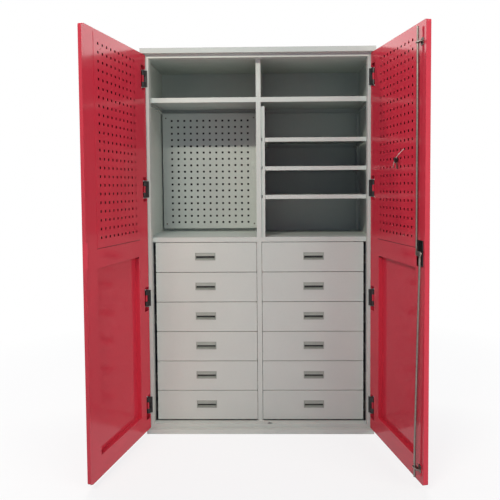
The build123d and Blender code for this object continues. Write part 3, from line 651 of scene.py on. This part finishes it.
def uprightParts(post):
    # front fold with its step, slotted web and rear flange of the front left upright, each
    # a flat outline carried up or a punched sheet turned into its place
    inner, sheet, front = post["inner"], post["sheet"], post["front"]
    face, step, rear = inner + post["width"], inner + post["step"], front + post["depth"]
    low, high = post["height"]
    fold = front + post["setBack"]
    outline = np.array([
        [face, front], [face, front + sheet], [step + sheet, front + sheet],
        [step + sheet, fold + sheet], [step, fold + sheet], [step, front]])
    flange = np.array([[inner, rear - sheet], [face, rear - sheet], [face, rear], [inner, rear]])
    parts = [extruded(outline, low, high), extruded(flange, low, high)]
    shared = {"height": (low, high), "columns": 1, "corner": post["corner"], "sheet": sheet}
    points, quads = perforatedSheet({
        **shared, "along": (front + sheet, rear - sheet), "rows": post["slotRows"],
        "pitch": post["slotPitch"], "hole": post["slot"]})
    parts.append((points[:, [1, 0, 2]] + (face - sheet, 0, 0), quads))
    points, quads = perforatedSheet({
        **shared, "along": (inner, step), "rows": post["windowRows"],
        "pitch": post["windowPitch"], "hole": post["window"],
        "centre": (inner + post["step"] / 2, post["windowMiddle"])})
    parts.append((points + (0, fold, 0), quads))
    return parts


parts = []
for points, *groups in uprightParts(upright):
    for flip, across in ((1, 0.0), (-1, 2 * upright["bayMiddle"])):
        for back in (0.0, upright["spacing"]):
            moved = points * (flip, 1, 1) + (across, back, 0)
            parts.append((moved, *outward(moved, groups)))
points, groups = joinParts(parts)
piece = makePiece(
    "slottedUprights", points, groups, "grey_paint", "cabinet", finish="punchedGrey")
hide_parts("shelf_uprights")
print("uprights made:", sum(len(group) for group in groups), "faces")


def dome(radius, height, segments=12, rings=4, sunk=0.0004):
    # radius times sine and height times cosine of one angle, turned round the axis
    tilt = np.linspace(math.pi / 2, 0, rings + 1)[:-1]
    reach = np.concatenate([[radius], radius * np.sin(tilt)])
    rise = np.concatenate([[-sunk], height * np.cos(tilt)])
    turn = np.arange(segments) * 2 * math.pi / segments
    shell = np.stack(
        [reach[:, None] * np.cos(turn), np.repeat(rise[:, None], segments, 1),
         reach[:, None] * np.sin(turn)], -1).reshape(-1, 3)
    count = len(reach)
    points = np.concatenate([shell, [[0, -sunk, 0], [0, height, 0]]])
    quads = gridQuads(count, segments, ringColumns=True)
    around = np.arange(segments)
    after = (around + 1) % segments
    last = (count - 1) * segments
    bottom = np.stack([np.full(segments, len(shell)), after, around], -1)
    top = np.stack([np.full(segments, len(shell) + 1), last + around, last + after], -1)
    return points, quads, np.concatenate([bottom, top])


# domed rivets between the holes of the door panels, counted in pitches from the first hole
rivet = {"radius": 0.0042, "height": 0.0018, "columns": (0.5, 8.5), "rows": (0.5, 10.5, 21.5)}
head, *headFaces = dome(rivet["radius"], rivet["height"])
firstColumn, firstRow = (
    sum(doorPanel[run]) / 2 - (doorPanel[count] - 1) / 2 * pitch
    for run, count, pitch in zip(("along", "height"), ("columns", "rows"), doorPanel["pitch"]))
spots = [
    (firstColumn + column * doorPanel["pitch"][0], 0.0, firstRow + row * doorPanel["pitch"][1])
    for column in rivet["columns"] for row in rivet["rows"]
]
points, groups = repeatShape(head, headFaces, spots)
for side in ("left", "right"):
    face = hang["innerFace"] + doorPanel["sheet"]
    placed = onDoor(side, points[:, 0], points[:, 1] + face, points[:, 2])
    makePiece(side + "DoorRivets", placed, groups, "red_paint", side + "_door", smooth=True)
print("rivets made")

# pan-head screws in the corners of the rear panel
panelScrew = {"radius": 0.0048, "height": 0.0022, "across": (-0.568, -0.040), "up": (1.071, 1.707)}
head, *headFaces = dome(panelScrew["radius"], panelScrew["height"])
spots = [(x, toolPanel["face"], z) for x in panelScrew["across"] for z in panelScrew["up"]]
points, groups = repeatShape(head * (1, -1, 1), headFaces, spots)
makePiece("rearPanelScrews", points, groups, "zinc_steel", "cabinet", smooth=True)
print("screws made")

# keys: a moulded head with a hole for the tie, and a cut blade; the head's profile goes from
# the hole over one face to the outline and back over the other, as shares of the way and of
# the thickness, and the blade's cuts and back are shares of its width and length
keyShape = {
    "at": (0.3341, 0.0273, 1.4178), "step": (0.0025, 0.0, 0.00167), "tilts": (-11.0, -4.0),
    "hole": 0.0034, "half": (0.0100, 0.0130), "drop": 0.0085, "thick": 0.0034, "square": 2.6,
    "blade": (0.0072, 0.0285), "bladeTop": 0.0195, "bladeThick": 0.0020, "columns": 28,
    "profile": (
        (0.0, 0.35), (0.06, 0.5), (0.84, 0.5), (0.96, 0.32), (1.0, 0.0),
        (0.96, -0.32), (0.84, -0.5), (0.06, -0.5), (0.0, -0.35)),
    "cuts": (
        (0.5, 0.0), (0.5, -0.12), (0.2, -0.2), (0.38, -0.3), (0.16, -0.4),
        (0.4, -0.5), (0.1, -0.62), (0.3, -0.72), (0.2, -0.82), (0.45, -0.92)),
    "back": ((0.12, -1.0), (-0.3, -1.0), (-0.5, -0.93), (-0.5, 0.0)),
}


def keyHead(key):
    # rings blended from the hole's circle to a rounded square by the profile's share
    turn = np.arange(key["columns"]) * 2 * math.pi / key["columns"]
    wave = np.stack([np.cos(turn), np.sin(turn)], -1)
    rounded = np.sign(wave) * np.abs(wave) ** (2 / key["square"])
    outer = rounded * key["half"] - (0.0, key["drop"])
    inner = wave * key["hole"]
    profile = np.array(key["profile"])
    share = profile[:, 0][:, None, None]
    flat = inner[None] * (1 - share) + outer[None] * share
    across = np.broadcast_to(profile[:, 1][:, None] * key["thick"], flat.shape[:2])
    points = np.stack([across, flat[..., 0], flat[..., 1]], -1).reshape(-1, 3)
    return points, gridQuads(len(profile), key["columns"], ringRows=True, ringColumns=True)


def keyBlade(key):
    # the outline of cuts and back, times width and length, carried straight by the thickness
    outline = np.array(key["cuts"] + key["back"]) * key["blade"] - (0.0, key["bladeTop"])
    points, sides, ends = extruded(outline, -key["bladeThick"] / 2, key["bladeThick"] / 2)
    return points[:, [2, 0, 1]], sides, ends


def hungKeys(shape, key):
    # one shape for each key, tilted about the tie and set a step to either side
    parts = []
    for number, tilt in enumerate(key["tilts"]):
        points, *groups = shape(key)
        cosine, sine = math.cos(math.radians(tilt)), math.sin(math.radians(tilt))
        turn = np.array([[1, 0, 0], [0, cosine, -sine], [0, sine, cosine]])
        shift = np.array(key["at"]) + (2 * number - 1) * np.array(key["step"])
        points = points @ turn.T + shift
        placed = onDoor("right", points[:, 0], points[:, 1], points[:, 2])
        parts.append((placed, *outward(placed, groups)))
    return joinParts(parts)


points, groups = hungKeys(keyHead, keyShape)
piece = makePiece("keyHeads", points, groups, "key_black", "right_door", smooth=True)
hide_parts("keys")
points, groups = hungKeys(keyBlade, keyShape)
makePiece("keyBlades", points, groups, "zinc_steel", "right_door")
print("keys made")

# floor and world
floorLook = {
    "colour": (236, 236, 236), "worn": 0.97, "grainScale": 40.0, "halfWidth": 12.0,
    "glow": 1.0, "matte": 0.2, "matteReach": (1.0, 2.6),
}
skyLook = {"light": 0.16, "shown": 1.0, "tint": (56, 120, 255)}


def shownShare(tree):
    # 1 for the rays that show the background, 0 for the rays that light the cabinet
    path = addNode(tree, "LightPath")
    share = path.outputs["Is Camera Ray"]
    for kind in ("Is Glossy Ray", "Is Transmission Ray"):
        share = maths(tree, "MAXIMUM", share, path.outputs[kind])
    return share


def makeFloor():
    # matte near the cabinet, where its shadow falls, and glowing further out
    material, tree, shader, place = newMaterial("paleFloor")
    tree.nodes.remove(shader)
    reach = vectorValue(tree, "LENGTH", place)
    glowing = spread(tree, reach, floorLook["matteReach"], (1 - floorLook["matte"], 1.0))
    share = maths(tree, "MULTIPLY", shownShare(tree), glowing)
    grain = noiseOn(tree, place, floorLook["grainScale"], 3.0)
    pale = linearColour(*floorLook["colour"])
    worn = tuple(floorLook["worn"] * part for part in pale[:3]) + (1.0,)
    matte = addNode(tree, "BsdfDiffuse", {"Color": blendColours(tree, grain, pale, worn)})
    glow = addNode(tree, "Emission", {"Strength": floorLook["glow"]})
    mixed = addNode(tree, "MixShader", {0: share, 1: matte.outputs[0], 2: glow.outputs[0]})
    tree.links.new(mixed.outputs[0], tree.nodes["Material Output"].inputs["Surface"])
    half = floorLook["halfWidth"]
    mesh = bpy.data.meshes.new("floor")
    corners = [(-half, -half, 0), (half, -half, 0), (half, half, 0), (-half, half, 0)]
    mesh.from_pydata(corners, [], [(0, 1, 2, 3)])
    mesh.materials.append(material)
    floor = bpy.data.objects.new("floor", mesh)
    bpy.context.scene.collection.objects.link(floor)


def makeWorld():
    # white where it is seen, and a faint blue sky where it lights
    world = bpy.data.worlds.new("studio")
    bpy.context.scene.world = world
    world.use_nodes = True
    tree = world.node_tree
    share = shownShare(tree)
    strength = spread(tree, share, (0.0, 1.0), (skyLook["light"], skyLook["shown"]))
    tint = blendColours(tree, share, linearColour(*skyLook["tint"]), (1.0, 1.0, 1.0, 1.0))
    tree.links.new(strength, tree.nodes["Background"].inputs["Strength"])
    tree.links.new(tint, tree.nodes["Background"].inputs["Color"])


makeFloor()
makeWorld()

# soft lamps, each aimed at a point of the cabinet
warmWhite = (255, 250, 235)
lamps = {
    "leftTube": {
        "at": (-1.25, -3.6, 3.31), "aim": (-1.25, 0.0, 1.1), "size": (1.5, 0.12),
        "power": 94.0, "tint": warmWhite,
    },
    "rightTube": {
        "at": (2.5, -3.6, 3.31), "aim": (2.5, 0.0, 1.1), "size": (1.0, 0.12),
        "power": 32.0, "tint": warmWhite,
    },
    "rightBox": {
        "at": (4.0, -3.1, 1.5), "aim": (0.0, 0.0, 1.0), "size": (1.6, 1.2),
        "power": 68.0, "tint": warmWhite,
    },
    "highBox": {
        "at": (0.0, -1.7, 4.3), "aim": (0.0, -0.3, 1.0), "size": (1.4, 0.6),
        "power": 18.0, "tint": (246, 250, 255),
    },
    "topTube": {
        "at": (-0.6, 1.21, 5.5), "aim": (-0.6, -0.6, 1.2), "size": (4.4, 0.26),
        "power": 175.0, "tint": warmWhite,
    },
    "backPanel": {
        "at": (0.0, 1.9, 3.3), "aim": (0.0, 0.0, 2.6), "size": (4.6, 1.6),
        "power": 66.0, "tint": (255, 253, 250),
    },
}


def standAt(holder, at, right, up, back):
    # an object placed with its own three axes along the directions given
    matrix = np.eye(4)
    matrix[:3, :3] = np.stack([right, up, back], -1)
    matrix[:3, 3] = at
    holder.matrix_world = Matrix(matrix.tolist())
    bpy.context.scene.collection.objects.link(holder)


def makeLamp(name, lamp):
    light = bpy.data.lights.new(name, "AREA")
    light.shape = "RECTANGLE"
    light.size, light.size_y = lamp["size"]
    light.energy = lamp["power"]
    light.color = linearColour(*lamp["tint"])[:3]
    at, aim = np.array(lamp["at"]), np.array(lamp["aim"])
    back = (at - aim) / np.linalg.norm(at - aim)
    right = np.cross([0.0, 0.0, 1.0], back)
    right /= np.linalg.norm(right)
    standAt(bpy.data.objects.new(name, light), at, right, np.cross(back, right), back)


for name, lamp in lamps.items():
    makeLamp(name, lamp)
print("floor, world and lamps made")

# camera: place, angles in degrees, and the focal length and optical axis in pixels of a frame
lens = {
    "at": (0.078672, -3.167814, 1.292675), "yaw": -0.968, "down": 2.726, "roll": 0.393,
    "focal": 564.213, "axisX": 264.416, "axisY": 213.570, "frame": 500.0, "sensor": 36.0,
}


def makeCamera():
    # the three directions after yaw and tilt, then rolled about the line of sight
    yaw, down, roll = (math.radians(lens[key]) for key in ("yaw", "down", "roll"))
    forward = np.array([
        math.sin(yaw) * math.cos(down), math.cos(yaw) * math.cos(down), -math.sin(down)])
    right = np.array([math.cos(yaw), -math.sin(yaw), 0.0])
    below = np.cross(forward, right)
    rightRolled = math.cos(roll) * right + math.sin(roll) * below
    belowRolled = -math.sin(roll) * right + math.cos(roll) * below
    data = bpy.data.cameras.new("camera")
    data.sensor_width = lens["sensor"]
    data.lens = lens["focal"] / lens["frame"] * lens["sensor"]
    data.shift_x = 0.5 - lens["axisX"] / lens["frame"]
    data.shift_y = lens["axisY"] / lens["frame"] - 0.5
    camera = bpy.data.objects.new("camera", data)
    standAt(camera, lens["at"], rightRolled, -belowRolled, -forward)
    bpy.context.scene.camera = camera


makeCamera()
bpy.context.scene.view_settings.view_transform = "Standard"

print("scene ready")
